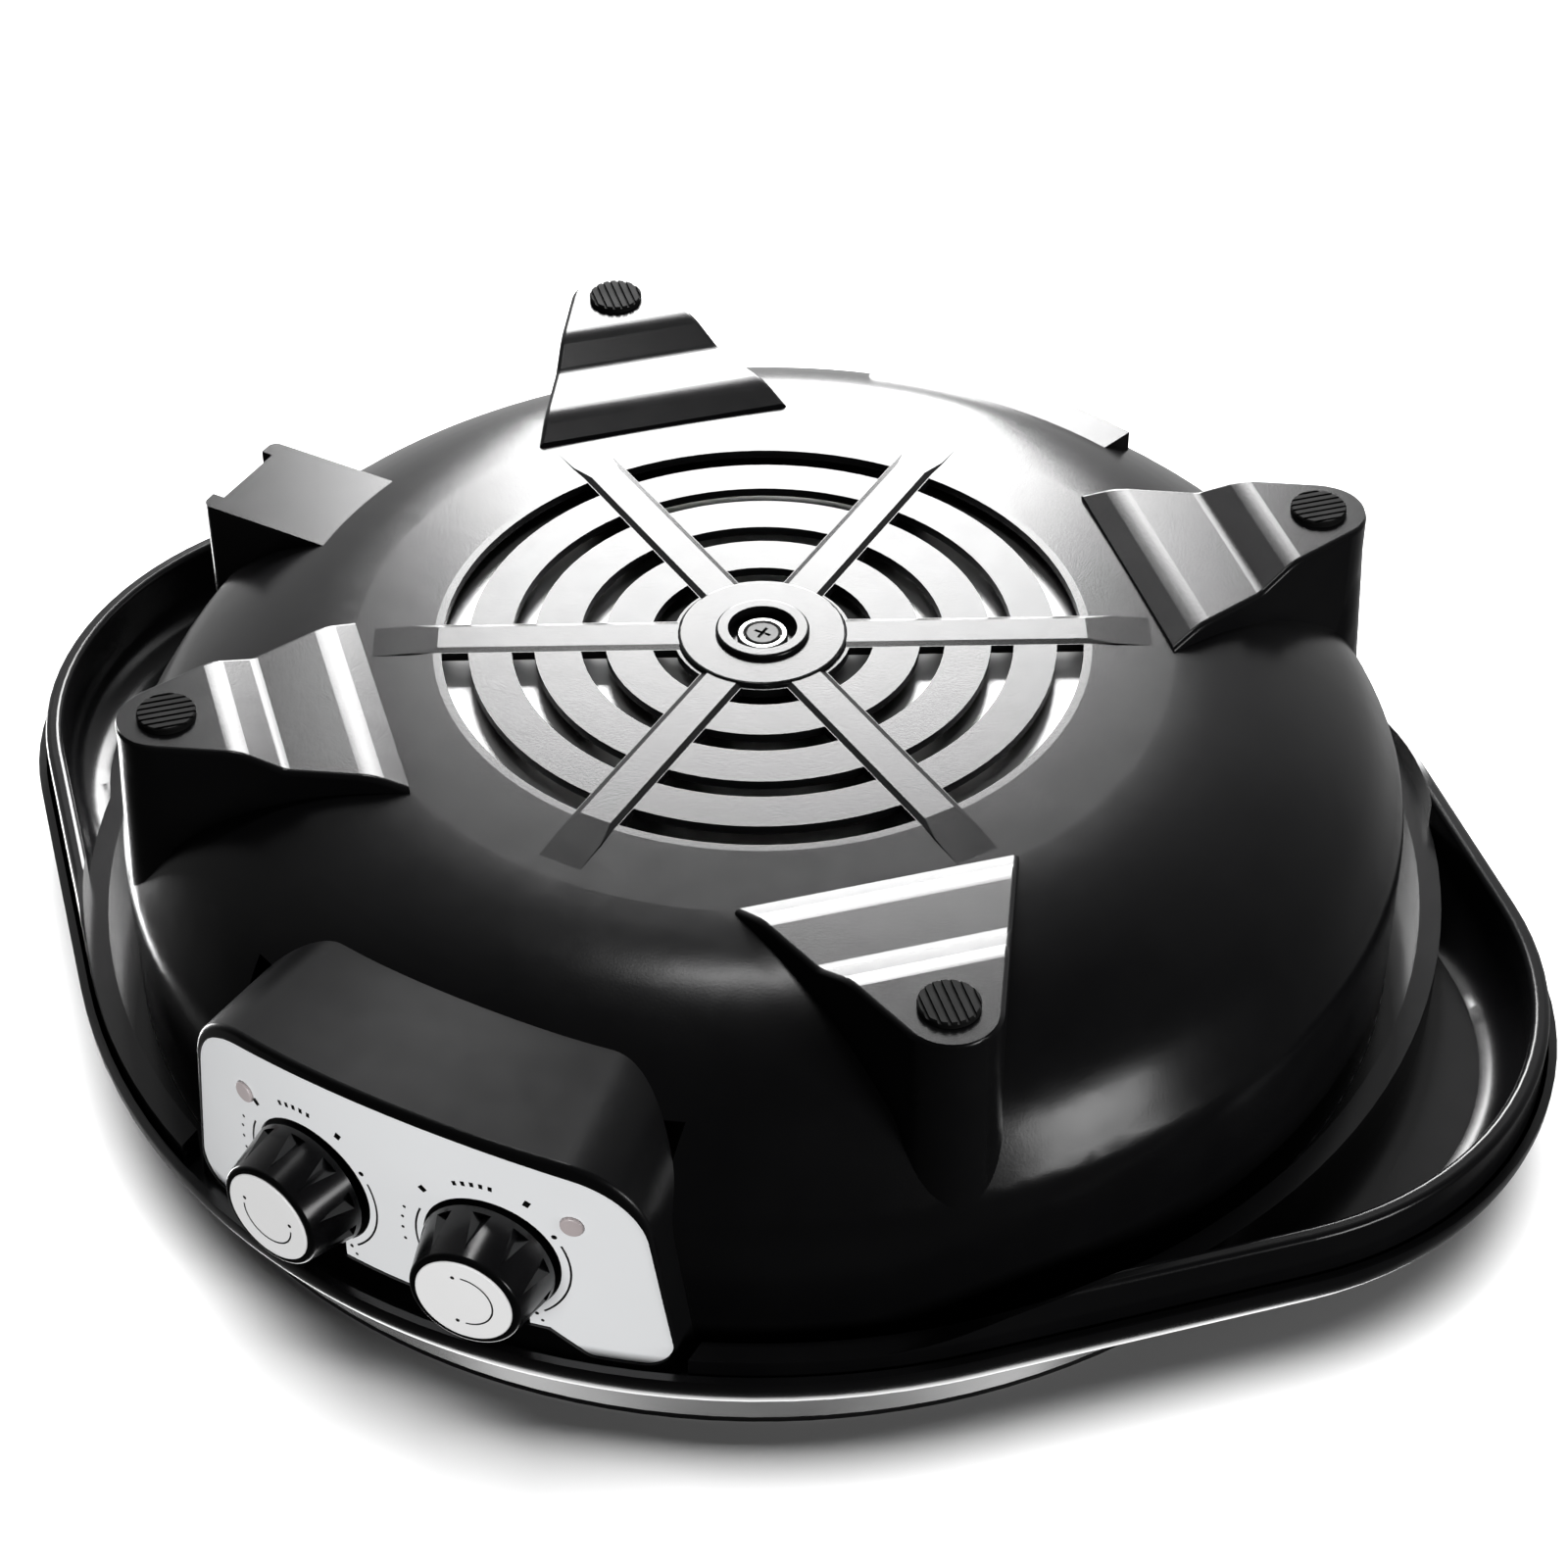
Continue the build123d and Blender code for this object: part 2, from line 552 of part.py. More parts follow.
def make_element_clips():
    """Straps that hold both elements up against the underside of the pan."""
    clips = []
    z = PAN_UNDER_Z - HEATER_R
    outer = HEATER_R + CLIP_T
    for loop_r in (OUTER_HEATER_LOOP_R, INNER_HEATER_LOOP_R):
        for azimuth in CLIP_AZ:
            strap = Pos(0, 0, z) * (Rot(90, 0, 0) * Cylinder(outer, CLIP_W))
            strap += block(-outer, outer, -CLIP_W / 2, CLIP_W / 2, z, PAN_UNDER_Z)
            strap += block(-outer - CLIP_FOOT, outer + CLIP_FOOT, -CLIP_W / 2, CLIP_W / 2,
                           PAN_UNDER_Z - CLIP_T, PAN_UNDER_Z)
            strap -= Pos(-loop_r, 0, z) * Torus(loop_r, HEATER_R)
            strap -= Pos(-loop_r, 0, 0) * ring(loop_r - HEATER_R, loop_r + HEATER_R, z, PAN_UNDER_Z + 1)
            clips.append(spin(Pos(loop_r, 0, 0) * strap, azimuth))
    return Compound(clips)


def ear_outline(offset):
    """Plan of the ring with its two ears, moved outwards by offset."""
    r = RING_R + offset
    e = EAR_R + offset
    turn = acos((RING_R - EAR_R) / EAR_X)
    c, s = cos(turn), sin(turn)
    edges = []
    for side in (1, -1):
        edges.append(ThreePointArc((side * (EAR_X + e * c), -side * e * s), (side * (EAR_X + e), 0),
                                   (side * (EAR_X + e * c), side * e * s)))
        edges.append(Line((side * (EAR_X + e * c), side * e * s), (side * r * c, side * r * s)))
        edges.append(ThreePointArc((side * r * c, side * r * s), (0, side * r),
                                   (-side * r * c, side * r * s)))
        edges.append(Line((-side * r * c, side * r * s), (-side * (EAR_X + e * c), side * e * s)))
    return make_face(edges)


def slab(face, z0, z1):
    return Pos(0, 0, z0) * extrude(face, z1 - z0)


def make_handle_ring():
    top = RING_PLATE_Z + RING_PLATE_T
    body = slab(ear_outline(0), EAR_LOW_Z, top)
    body = fillet(body.edges().group_by(Axis.Z)[-1], RING_ROUND)
    body -= ear_pockets()
    body = fillet(body.edges().group_by(Axis.Z)[0], 1.8)
    body -= ring(0, POCKET_IN_R, 0, COLLAR_LOW_Z)
    body -= rim_ramp()
    body -= ring(0, COLLAR_IN_R, 0, RING_PLATE_Z)
    body -= ring(0, RING_BORE_R, 0, 200)
    notch = block(-RING_NOTCH_HALF, RING_NOTCH_HALF, -RING_R - 5, -COLLAR_IN_R * 0.8,
                  COLLAR_LOW_Z - 1, BOX_TOP_Z)
    return body - notch


def rim_ramp():
    """What is cut away below the ring between the ears, where its edge is higher than theirs."""
    low = EAR_LOW_Z - 5
    rise = Spline((RAMP_START_X, EAR_LOW_Z), (RAMP_END_X, COLLAR_LOW_Z), tangents=[(-1, 0), (-1, 0)])
    half = [rise, Polyline((RAMP_END_X, COLLAR_LOW_Z), (0, COLLAR_LOW_Z), (0, low),
                           (RAMP_START_X, low), (RAMP_START_X, EAR_LOW_Z))]
    cut = extrude(Plane.XZ * make_face(half), RING_R + 20, both=True)
    return cut + mirror(cut, about=Plane.YZ)


def ear_pockets():
    """The two hollows under the ears."""
    pocket = slab(ear_outline(-SKIRT_T), EAR_LOW_Z - 5, RING_PLATE_Z)
    pocket = fillet(pocket.edges().group_by(Axis.Z)[-1], POCKET_COVE)
    pocket -= ring(0, POCKET_IN_R, 0, 200)
    reach = EAR_X + EAR_R + 5
    ends = block(POCKET_END_X, reach, -300, 300, 0, 200)
    ends += block(-reach, -POCKET_END_X, -300, 300, 0, 200)
    return pocket & ends


def make_top_ring():
    """Upper ring: the rounded edge of the ears, their upper faces and the band round the pan."""
    inner_top = RING_PLATE_Z + RING_PLATE_T
    shell = slab(ear_outline(TOP_STEP), PART_Z, TOP_Z)
    shell = fillet(shell.edges().group_by(Axis.Z)[-1], TOP_ROUND)
    hollow = slab(ear_outline(TOP_STEP - TOP_WALL), PART_Z - 10, inner_top)
    shell -= fillet(hollow.edges().group_by(Axis.Z)[-1], TOP_ROUND - TOP_WALL)
    band = revolved(Polyline((RING_BORE_R, inner_top), (RING_R - 6, inner_top),
                             (RING_R - 6, TOP_Z - 0.5), (BAND_TOP_R, BAND_TOP_Z),
                             (RING_BORE_R, BAND_TOP_Z), close=True))
    return shell + band - ring(0, RING_BORE_R + 0.5, 0, 200)


def front_edges(body):
    """Edges round the curved front of the control box, without the one under the ring."""
    found = []
    for edge in body.edges():
        spots = [edge @ 0, edge @ 0.5, edge @ 1]
        if min(hypot(p.X, p.Y) for p in spots) > BOX_R + BEZEL - 0.01 and spots[1].Z < BOX_TOP_Z - 0.1:
            found.append(edge)
    return found


def make_control_housing():
    outer = box_body(0) & ring(0, BOX_R + BEZEL, 0, CASING_TOP_Z)
    outer = fillet(front_edges(outer), BOX_EDGE_R)
    inner = box_body(BOX_WALL) & ring(0, BOX_R - BOX_WALL - FASCIA_T, 0, CASING_TOP_Z)
    recess = forward(fascia_outline(-0.2), BOX_R - FASCIA_T, BOX_R + BEZEL + 5)
    body = outer - inner - recess
    body -= casing_body(-0.01, CASING_TOP_Z + 5)
    for side in (-1, 1):
        body -= along(knob_axis(side), BUSHING_HOLE_R, 150, 230)
        body -= along(lamp_axis(side), LAMP_R + 0.1, 150, 230)
    return body


def fascia_outline(inset):
    """Outline of the fascia in X and Z, with its two lobes."""
    edge = FASCIA_BORDER + inset
    slope = (BOX_TOP_HALF - BOX_LOW_HALF) / (BOX_TOP_Z - BOX_LOW_Z - BOX_ARCH)
    top = FASCIA_LOBE_Z - inset
    half_low = BOX_LOW_HALF - edge
    half_top = half_low + slope * (top - BOX_LOW_Z - BOX_ARCH - edge)
    face = arched(half_low, BOX_LOW_Z + edge, half_top, top, BOX_CORNER_R - edge)
    gap = Polyline((-LOBE_RISE_X - inset, top + 1), (-LOBE_RISE_X - inset, top),
                   (-LOBE_INNER_X, FASCIA_LOW_Z - inset), (LOBE_INNER_X, FASCIA_LOW_Z - inset),
                   (LOBE_RISE_X + inset, top), (LOBE_RISE_X + inset, top + 1), close=True)
    face -= make_face(gap)
    upper = [v for v in face.vertices() if v.Y > top - 0.1]
    face = fillet([v for v in upper if abs(v.X) > LOBE_RISE_X + 5], 8.0)
    return fillet([v for v in face.vertices() if v.Y > top - 0.1 and abs(v.X) < LOBE_RISE_X + 2], 5.0)


def make_fascia():
    plate = forward(fascia_outline(0), BOX_R - FASCIA_T, BOX_R)
    for side in (-1, 1):
        x = (BOX_R * sin(radians(KNOB_AZ))) * side
        plate -= along(knob_axis(side), KNOB_RECESS_R, 150, 230)
        plate -= block(x - KNOB_SLOT_HALF, x + KNOB_SLOT_HALF, -220, -150, KNOB_Z, FASCIA_LOBE_Z + 2)
        plate -= along(lamp_axis(side), LAMP_R + 0.1, 150, 230)
    return plate


def flute_section(distance, half, depth):
    """Wedge across the side of a knob at a distance from its back."""
    surface = KNOB_BASE_R + (KNOB_FACE_R - KNOB_BASE_R) * distance / KNOB_LEN
    outline = Polyline((surface - depth, 0), (surface + 1, -half), (surface + 1, half), close=True)
    return Pos(0, 0, KNOB_START_R + distance) * make_face(outline)


def flute():
    """One flute, wide and deep at the back and narrowing to a point near the face."""
    back = flute_section(FLUTE_START, FLUTE_HALF, FLUTE_DEPTH)
    front = flute_section(KNOB_LEN - FLUTE_END, 0.3, 0.1)
    return loft([back, front])


def make_knob(side):
    """Fluted knob with a round seat for its cap and a blind bore for the shaft."""
    axis = knob_axis(side)
    end = KNOB_START_R + KNOB_LEN
    mid = (KNOB_START_R + end) / 2
    body = Pos(0, 0, mid) * Cone(KNOB_BASE_R, KNOB_FACE_R, KNOB_LEN)
    body = fillet(body.edges().group_by(Axis.Z)[-1], 1.2)
    for k in range(KNOB_FLUTES):
        body -= spin(flute(), 360 * k / KNOB_FLUTES)
    body -= Pos(0, 0, end - CAP_SEAT / 2 + 0.5) * Cylinder(CAP_R, CAP_SEAT + 1)
    body -= Pos(0, 0, KNOB_START_R + SHAFT_GRIP / 2 - 0.5) * Cylinder(SHAFT_R, SHAFT_GRIP + 1)
    return axis * body


def make_cap(side):
    end = KNOB_START_R + KNOB_LEN
    cap = Pos(0, 0, end - CAP_SEAT + CAP_T / 2) * Cylinder(CAP_R, CAP_T)
    cap = fillet(cap.edges().group_by(Axis.Z)[-1], 0.5)
    return knob_axis(side) * cap


def thermo_front():
    """Distance from the dish's axis to the front of a thermostat's body."""
    return BOX_R - FASCIA_T - BOX_WALL - THERMO_SEAT - THERMO_PLATE_T


def make_shaft(side):
    return along(knob_axis(side), SHAFT_R, thermo_front() - THERMO_D + 3, KNOB_START_R + SHAFT_GRIP)


def make_thermostat(side):
    """Thermostat: a body block, a mounting plate against the box and a threaded bushing."""
    front = thermo_front()
    back = front - THERMO_D
    nut_end = BOX_R - FASCIA_T + NUT_T
    body = Pos(0, 0, (front + back) / 2) * Box(THERMO_H - 8, THERMO_W, THERMO_D)
    plate = Pos(0, 0, front + THERMO_PLATE_T / 2) * Box(THERMO_H, THERMO_W / 2, THERMO_PLATE_T)
    bushing = Pos(0, 0, (front + nut_end) / 2) * Cylinder(BUSHING_R, nut_end - front)
    unit = body + plate + bushing
    unit -= Pos(0, 0, back + 3 + 50) * Cylinder(SHAFT_R + SHAFT_FIT, 100)
    return knob_axis(side) * unit


def make_nut(side):
    nut = extrude(RegularPolygon(NUT_R, 6) - Circle(BUSHING_R), NUT_T)
    return knob_axis(side) * Pos(0, 0, BOX_R - FASCIA_T) * nut


def make_lamp_lens(side):
    lens = Pos(0, 0, BOX_R + 0.1) * Cylinder(LAMP_R, 1.6)
    lens = fillet(lens.edges().group_by(Axis.Z)[-1], 0.6)
    return lamp_axis(side) * lens


def make_lamp_body(side):
    end = BOX_R - 0.7
    start = end - LAMP_LEN
    inside = BOX_R - FASCIA_T - BOX_WALL
    body = Pos(0, 0, (start + end) / 2) * Cylinder(LAMP_R, LAMP_LEN)
    body += Pos(0, 0, inside - 3) * Cylinder(LAMP_FLANGE_R, 2)
    return lamp_axis(side) * body


def make_socket():
    """Power inlet: a block with a deep cavity, held by a lip inside the casing."""
    x1 = INLET_BOX_X - CHEEK_DEPTH
    x0 = x1 - SOCKET_DEPTH
    body = block(x0, x1, -SOCKET_HALF_Y, SOCKET_HALF_Y, SOCKET_LOW_Z, SOCKET_TOP_Z)
    lip_x = x1 - WALL - SOCKET_LIP_T
    body += block(lip_x, x1 - WALL, -SOCKET_HALF_Y - SOCKET_LIP, SOCKET_HALF_Y + SOCKET_LIP,
                  SOCKET_LOW_Z - SOCKET_LIP * 0.4, SOCKET_TOP_Z + SOCKET_LIP)
    cavity = block(x0 + SOCKET_FLOOR_T, x1 + 1, -SOCKET_HALF_Y + SOCKET_WALL,
                   SOCKET_HALF_Y - SOCKET_WALL, SOCKET_LOW_Z + SOCKET_WALL, SOCKET_TOP_Z - SOCKET_WALL)
    cavity = chamfer(cavity.edges().filter_by(Axis.X).group_by(Axis.Z)[0], 4.0)
    return body - cavity - pin_blocks()


def pin_blocks():
    x1 = INLET_BOX_X - CHEEK_DEPTH - SOCKET_DEPTH + SOCKET_FLOOR_T + PIN_OUT
    x0 = INLET_BOX_X - CHEEK_DEPTH - SOCKET_DEPTH - PIN_TAIL
    mid = (SOCKET_LOW_Z + SOCKET_TOP_Z) / 2
    spots = [(-PIN_SPREAD, -PIN_RISE / 2), (0, PIN_RISE / 2), (PIN_SPREAD, -PIN_RISE / 2)]
    return [block(x0, x1, y - PIN_T / 2, y + PIN_T / 2, mid + z - PIN_W / 2, mid + z + PIN_W / 2)
            for y, z in spots]


def make_pins():
    return Compound(pin_blocks())


def make_all():
    save(make_lower_casing(), "lower_casing")
    for index, azimuth in enumerate(LEG_AZ):
        save(spin(make_pad(), azimuth), f"foot_pad_{index + 1}")
    save(make_washer(), "hub_washer")
    save(make_hub_screw(), "hub_screw")
    save(make_stud(), "centre_stud")
    save(make_vent_baffle(), "vent_baffle")
    save(make_heat_shield(), "heat_shield")
    save(make_pan(), "cooking_pan")
    save(make_heater(OUTER_HEATER_LOOP_R, 90), "outer_heating_element")
    save(make_heater(INNER_HEATER_LOOP_R, 90), "inner_heating_element")
    save(make_element_clips(), "element_clips")
    save(make_handle_ring(), "handle_ring")
    save(make_top_ring(), "top_ring")
    save(make_control_housing(), "control_housing")
    save(make_fascia(), "fascia_plate")
    for name, side in (("left", -1), ("right", 1)):
        save(make_knob(side), f"knob_{name}")
        save(make_cap(side), f"knob_cap_{name}")
        save(make_shaft(side), f"knob_shaft_{name}")
        save(make_thermostat(side), f"thermostat_{name}")
        save(make_nut(side), f"thermostat_nut_{name}")
        save(make_lamp_lens(side), f"lamp_lens_{name}")
        save(make_lamp_body(side), f"lamp_body_{name}")
    save(make_socket(), "inlet_socket")
    save(make_pins(), "inlet_pins")


make_all()
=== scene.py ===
import json
import math
import bpy
from mathutils import Matrix, Vector


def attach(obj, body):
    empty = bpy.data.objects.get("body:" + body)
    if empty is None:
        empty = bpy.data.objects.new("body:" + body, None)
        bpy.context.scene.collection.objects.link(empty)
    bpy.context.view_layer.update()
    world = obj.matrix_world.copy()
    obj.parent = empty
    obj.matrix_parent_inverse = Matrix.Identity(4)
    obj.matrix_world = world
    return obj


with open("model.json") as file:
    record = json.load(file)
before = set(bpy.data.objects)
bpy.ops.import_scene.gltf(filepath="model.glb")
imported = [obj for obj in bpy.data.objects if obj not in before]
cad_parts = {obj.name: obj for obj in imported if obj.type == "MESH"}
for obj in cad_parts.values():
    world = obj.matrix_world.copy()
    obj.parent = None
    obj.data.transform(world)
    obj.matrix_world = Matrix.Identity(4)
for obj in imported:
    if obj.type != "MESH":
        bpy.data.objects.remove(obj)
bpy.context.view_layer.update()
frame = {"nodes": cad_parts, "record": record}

# The cooker is shown turned over, as it is photographed: the camera looks up at the underside of
# the row and is rolled so that the row's -Z is up in the picture.
# Lengths are in metres and angles in degrees.
AXIS_Y = 0.0044
FASCIA_R = 0.202
KNOB_Z = 0.0716
KNOB_AZ = (261.9, 278.1)
CAP_FACE_R = 0.2196
PAN_TOP_Z = 0.1318
PRINT_LIFT = 0.00005
SCALE_R = 0.0222
SCALE_LINE = 0.0006
TICK_R = 0.0252
MARK_R = 0.0256
OUTER_DOT_R = 0.0264
CAP_MARK_R = 0.0084
CAP_MARK_LINE = 0.0005
SMALL_DOT = 0.0005
DOT = 0.0006
LARGE_DOT = 0.0008
FLOOR_GAP = 0.0004
FLOOR_HALF = 8.0
FLOOR_GREY = 0.9

# The noise textures stay mostly between these two values.
NOISE_LOW = 0.3
NOISE_HIGH = 0.7
GLOSS_SPREAD = 0.05

# The level direction from the camera past the cooker.
BEHIND = (0.483, 0.876, 0.0)
DARK_LEVEL = 0.03


# ---- node materials ------------------------------------------------------------------------
def new_material(name):
    material = bpy.data.materials.new(name)
    material.use_nodes = True
    tree = material.node_tree
    return material, tree, tree.nodes["Principled BSDF"]


def add(tree, kind, **values):
    """A new node; each value is one of its properties, or else an input's value."""
    node = tree.nodes.new(kind)
    for key, value in values.items():
        if hasattr(node, key):
            setattr(node, key, value)
        else:
            node.inputs[key.replace("_", " ")].default_value = value
    return node


def noise(tree, scale, detail, stretch=None):
    """Noise in the row frame; stretch squeezes it along the axes."""
    coords = add(tree, "ShaderNodeTexCoord")
    texture = add(tree, "ShaderNodeTexNoise", Scale=scale, Detail=detail)
    if stretch:
        mapping = add(tree, "ShaderNodeMapping")
        mapping.inputs["Scale"].default_value = stretch
        tree.links.new(coords.outputs["Object"], mapping.inputs["Vector"])
        tree.links.new(mapping.outputs["Vector"], texture.inputs["Vector"])
    else:
        tree.links.new(coords.outputs["Object"], texture.inputs["Vector"])
    return texture.outputs["Fac"]


def span(tree, source, low, high):
    """Spreads a noise from low to high."""
    node = add(tree, "ShaderNodeMapRange", From_Min=NOISE_LOW, From_Max=NOISE_HIGH,
               To_Min=low, To_Max=high)
    tree.links.new(source, node.inputs["Value"])
    return node.outputs["Result"]


def two_tone(tree, source, dark, light):
    """Colours a noise from dark to light."""
    ramp = add(tree, "ShaderNodeValToRGB")
    ends = zip(ramp.color_ramp.elements, (NOISE_LOW, NOISE_HIGH), (dark, light))
    for element, position, colour in ends:
        element.position = position
        element.color = (*colour, 1)
    tree.links.new(source, ramp.inputs["Fac"])
    return ramp.outputs["Color"]


def finish_of(name, dark, light, roughness, grain, depth, metallic=0.0, blotch=40.0,
              stretch=None, specular=0.5):
    """A surface with slow colour and gloss changes and a fine bump."""
    material, tree, shader = new_material(name)
    slow = noise(tree, blotch, 4.0)
    fine = noise(tree, grain, 2.0, stretch)
    tree.links.new(two_tone(tree, slow, dark, light), shader.inputs["Base Color"])
    rough = span(tree, noise(tree, blotch * 3, 5.0), roughness * (1 - GLOSS_SPREAD),
                 roughness * (1 + GLOSS_SPREAD))
    tree.links.new(rough, shader.inputs["Roughness"])
    bump = add(tree, "ShaderNodeBump", Strength=1.0, Distance=depth)
    tree.links.new(fine, bump.inputs["Height"])
    tree.links.new(bump.outputs["Normal"], shader.inputs["Normal"])
    shader.inputs["Metallic"].default_value = metallic
    shader.inputs["Specular IOR Level"].default_value = specular
    return material


LOOKS = {
    "casing_plastic": finish_of(
        "casing_grain", (0.010, 0.010, 0.011), (0.014, 0.014, 0.015), 0.24, 1500, 1.6e-5),
    "ring_plastic": finish_of(
        "ring_gloss", (0.010, 0.010, 0.011), (0.014, 0.014, 0.015), 0.2, 900, 4e-6),
    "housing_plastic": finish_of(
        "housing_gloss", (0.012, 0.012, 0.013), (0.016, 0.016, 0.017), 0.3, 1100, 6e-6),
    "knob_plastic": finish_of(
        "knob_gloss", (0.008, 0.008, 0.009), (0.012, 0.012, 0.013), 0.2, 900, 3e-6),
    "foot_rubber": finish_of(
        "foot_rubber", (0.010, 0.010, 0.010), (0.02, 0.02, 0.02), 0.7, 2500, 2e-5, specular=0.2),
    "zinc_steel": finish_of(
        "zinc_plate", (0.55, 0.55, 0.54), (0.7, 0.7, 0.68), 0.3, 2500, 4e-6, metallic=1.0),
    "dark_steel": finish_of(
        "dark_steel", (0.03, 0.03, 0.03), (0.06, 0.06, 0.06), 0.35, 2500, 6e-6, metallic=0.8),
    "shield_metal": finish_of(
        "rolled_sheet", (0.5, 0.5, 0.5), (0.62, 0.62, 0.62), 0.4, 500, 6e-6, metallic=1.0,
        stretch=(1, 8, 1)),
    "pan_coating": finish_of(
        "dish_coating", (0.016, 0.016, 0.017), (0.028, 0.028, 0.029), 0.42, 2600, 1.2e-5),
    "element_sheath": finish_of(
        "element_sheath", (0.10, 0.09, 0.08), (0.2, 0.19, 0.18), 0.5, 1800, 1e-5, metallic=0.9),
    "fascia_silver": finish_of(
        "fascia_silver", (0.74, 0.75, 0.76), (0.78, 0.79, 0.8), 0.38, 1800, 3e-6, blotch=12),
    "cap_white": finish_of(
        "cap_silver", (0.76, 0.76, 0.76), (0.8, 0.8, 0.8), 0.35, 1800, 3e-6, blotch=20),
    "lamp_grey": finish_of(
        "lamp_clouded", (0.38, 0.33, 0.33), (0.5, 0.45, 0.45), 0.3, 900, 8e-6),
    "socket_plastic": finish_of(
        "socket_black", (0.015, 0.015, 0.015), (0.02, 0.02, 0.02), 0.45, 1500, 1e-5),
    "pin_brass": finish_of(
        "pin_brass", (0.6, 0.5, 0.28), (0.7, 0.6, 0.36), 0.3, 1800, 4e-6, metallic=1.0),
}
INK = finish_of("printed_ink", (0.02, 0.02, 0.022), (0.035, 0.035, 0.037), 0.5, 3000, 2e-6)

SLOT_OF = {part["node"]: part["material_slot"] for part in frame["record"]["subparts"]}
for node, obj in frame["nodes"].items():
    look = LOOKS[SLOT_OF[node]]
    for index in range(len(obj.data.materials)):
        obj.data.materials[index] = look


# ---- printed scales ------------------------------------------------------------------------
# Angles are in degrees round a knob, from -X towards -Z: 0 is right and 90 is up in the picture.
def on_fascia(knob):
    """Places a point of the scale on the curved fascia, just proud of it."""
    centre = FASCIA_R * math.cos(math.radians(KNOB_AZ[knob]))

    def place(u, v):
        r = FASCIA_R + PRINT_LIFT
        angle = math.asin((centre - u) / r)
        return (r * math.sin(angle), AXIS_Y - r * math.cos(angle), KNOB_Z - v)
    return place


def on_cap(knob):
    """Places a point of the mark on a knob's flat cap, just proud of it."""
    azimuth = math.radians(KNOB_AZ[knob])
    out = Vector((math.cos(azimuth), math.sin(azimuth), 0))
    side = Vector((-math.sin(azimuth), math.cos(azimuth), 0))
    face = Vector((0, AXIS_Y, KNOB_Z)) + out * (CAP_FACE_R + PRINT_LIFT)

    def place(u, v):
        return tuple(face - side * u - Vector((0, 0, v)))
    return place


def arc(radius, width, start, end, steps=28):
    """Outline of a strip along an arc, as quads."""
    quads = []
    for i in range(steps):
        turns = [math.radians(start + (end - start) * (i + k) / steps) for k in (0, 1)]
        radii = (radius - width / 2, radius + width / 2)
        corners = ((0, 0), (0, 1), (1, 1), (1, 0))
        quads.append([(radii[j] * math.cos(turns[k]), radii[j] * math.sin(turns[k]))
                      for k, j in corners])
    return quads


def dot(radius, turn, size, steps=14):
    """Outline of a dot of radius size, as one polygon."""
    middle_u = radius * math.cos(math.radians(turn))
    middle_v = radius * math.sin(math.radians(turn))
    rim = [2 * math.pi * i / steps for i in range(steps)]
    return [[(middle_u + size * math.cos(a), middle_v + size * math.sin(a)) for a in rim]]


def print_on(name, shapes, place, body):
    """One mesh of flat printed shapes, given as polygons in two coordinates."""
    verts, faces = [], []
    for polygon in shapes:
        faces.append(tuple(range(len(verts), len(verts) + len(polygon))))
        verts += [place(u, v) for u, v in polygon]
    mesh = bpy.data.meshes.new(name)
    mesh.from_pydata(verts, [], faces)
    mesh.materials.append(INK)
    obj = bpy.data.objects.new(name, mesh)
    bpy.context.scene.collection.objects.link(obj)
    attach(obj, body)


def scale_shapes():
    """The printed scale round one knob: two arcs, the ticks and the dots."""
    shapes = arc(SCALE_R, SCALE_LINE, 156, 202) + arc(SCALE_R, SCALE_LINE, 26, -50)
    for radius, turn, size in ((SCALE_R, 35, LARGE_DOT), (SCALE_R, -57, DOT), (0.0250, -57, SMALL_DOT)):
        shapes += dot(radius, turn, size)
    for turn in (110, 104, 98, 92, 86):
        shapes += arc(TICK_R, 0.0016, turn, turn + 2.6, 2)
    for turn in (62, 136):
        shapes += arc(MARK_R, 0.0022, turn, turn + 4, 2)
    for turn in (164, 173, 182, 191):
        shapes += dot(OUTER_DOT_R, turn, SMALL_DOT)
    return shapes


def cap_shapes(turn):
    """The printed mark of one cap: an open ring and a dot beyond each end."""
    middle = turn + 2
    shapes = arc(CAP_MARK_R, CAP_MARK_LINE, middle - 90, middle + 90, 40)
    for side in (-1, 1):
        shapes += dot(CAP_MARK_R, middle + side * 106, DOT)
    return shapes


for knob, (name, turn) in enumerate((("left", 0), ("right", -95))):
    print_on("scale_" + name, scale_shapes(), on_fascia(knob), "cooker")
    print_on("cap_mark_" + name, cap_shapes(turn), on_cap(knob), name + "_control")


